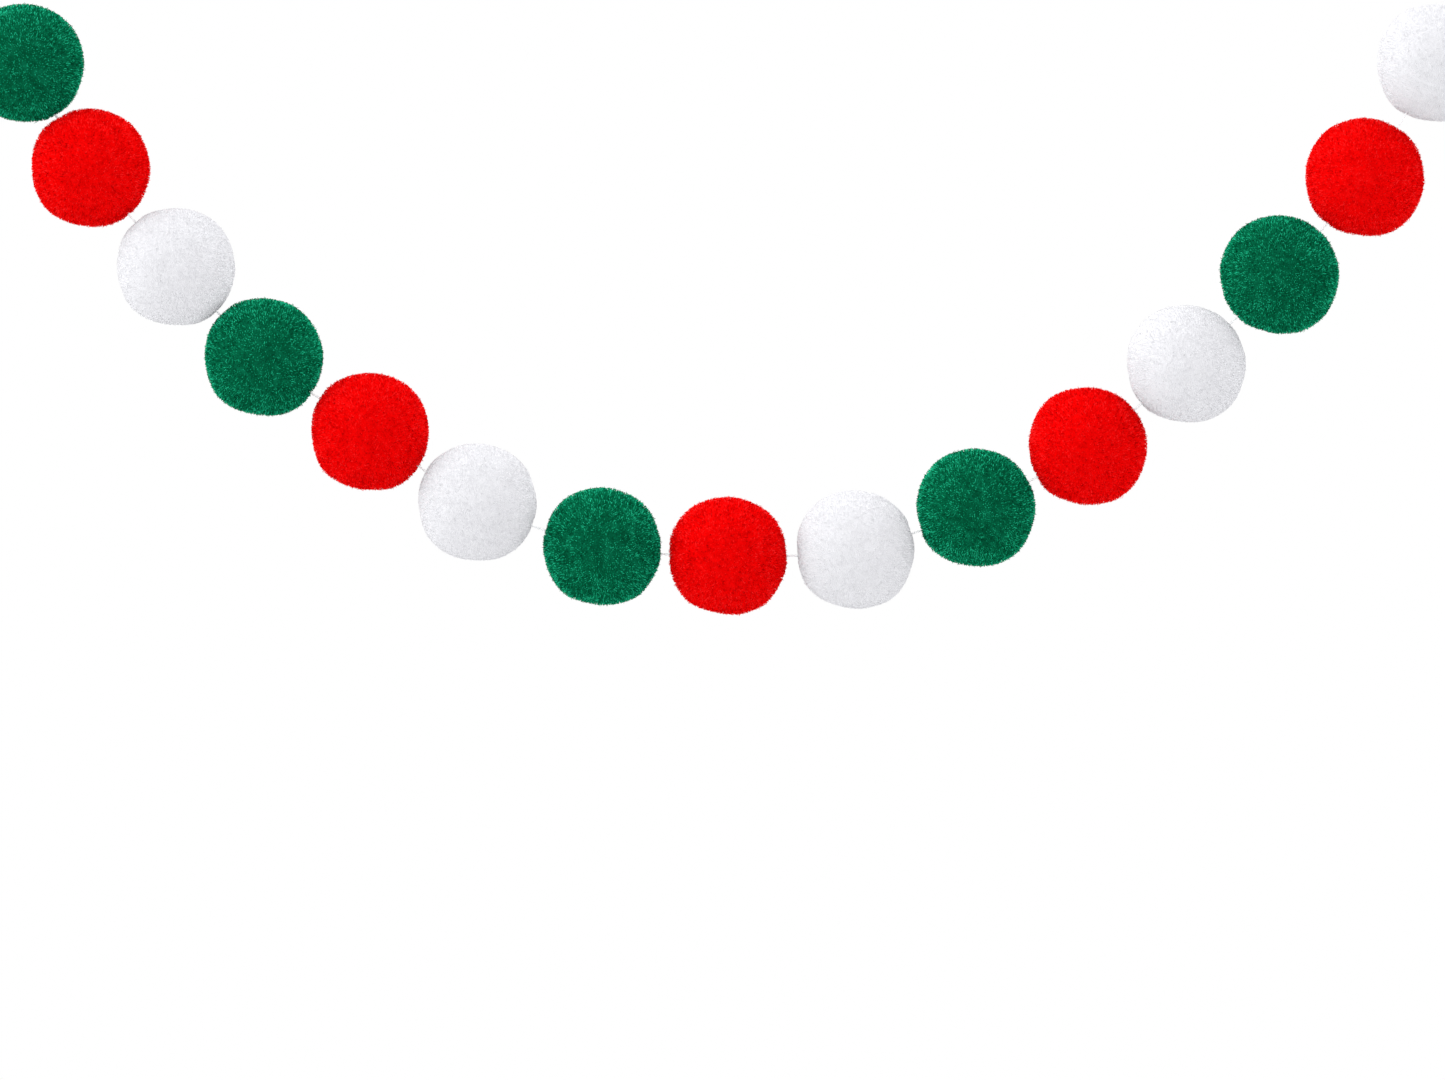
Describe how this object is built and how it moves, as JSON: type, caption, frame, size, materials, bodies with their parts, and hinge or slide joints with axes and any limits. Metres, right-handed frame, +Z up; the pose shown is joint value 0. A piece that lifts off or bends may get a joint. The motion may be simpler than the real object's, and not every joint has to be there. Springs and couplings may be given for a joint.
{
  "type": "pom pom garland",
  "caption": "Green, red and white pompoms threaded on one string that hangs in a deep swag, with a hanging loop tied at each end.",
  "frame": {"origin": "hanging point of the left loop: the inside of its far end, where a nail or hook bears", "axes": "+X from the left loop to the right one, +Y back from the viewer to the wall, +Z up; the swag hangs in the X-Z plane"},
  "size_m": [0.4112, 0.0302, 0.1796],
  "materials": {
    "yarn_green": "dense trimmed acrylic pile, deep green, mottled with lighter fibre tips and dark gaps, fully matt",
    "yarn_red": "dense trimmed acrylic pile, bright pure red with fine brighter tips, fully matt",
    "yarn_white": "dense trimmed acrylic pile, cool white, soft grey in its gaps, fully matt",
    "string": "thin white twisted string, matt"
  },
  "bodies": {
    "root": {"pompom_01_green": "yarn_green", "pompom_02_red": "yarn_red", "pompom_03_white": "yarn_white", "pompom_04_green": "yarn_green", "pompom_05_red": "yarn_red", "pompom_06_white": "yarn_white", "pompom_07_green": "yarn_green", "pompom_08_red": "yarn_red", "pompom_09_white": "yarn_white", "pompom_10_green": "yarn_green", "pompom_11_red": "yarn_red", "pompom_12_white": "yarn_white", "pompom_13_green": "yarn_green", "pompom_14_red": "yarn_red", "pompom_15_white": "yarn_white", "string": "string", "knot_left": "string", "knot_right": "string", "loop_left": "string", "loop_right": "string"}
  },
  "joints": []
}
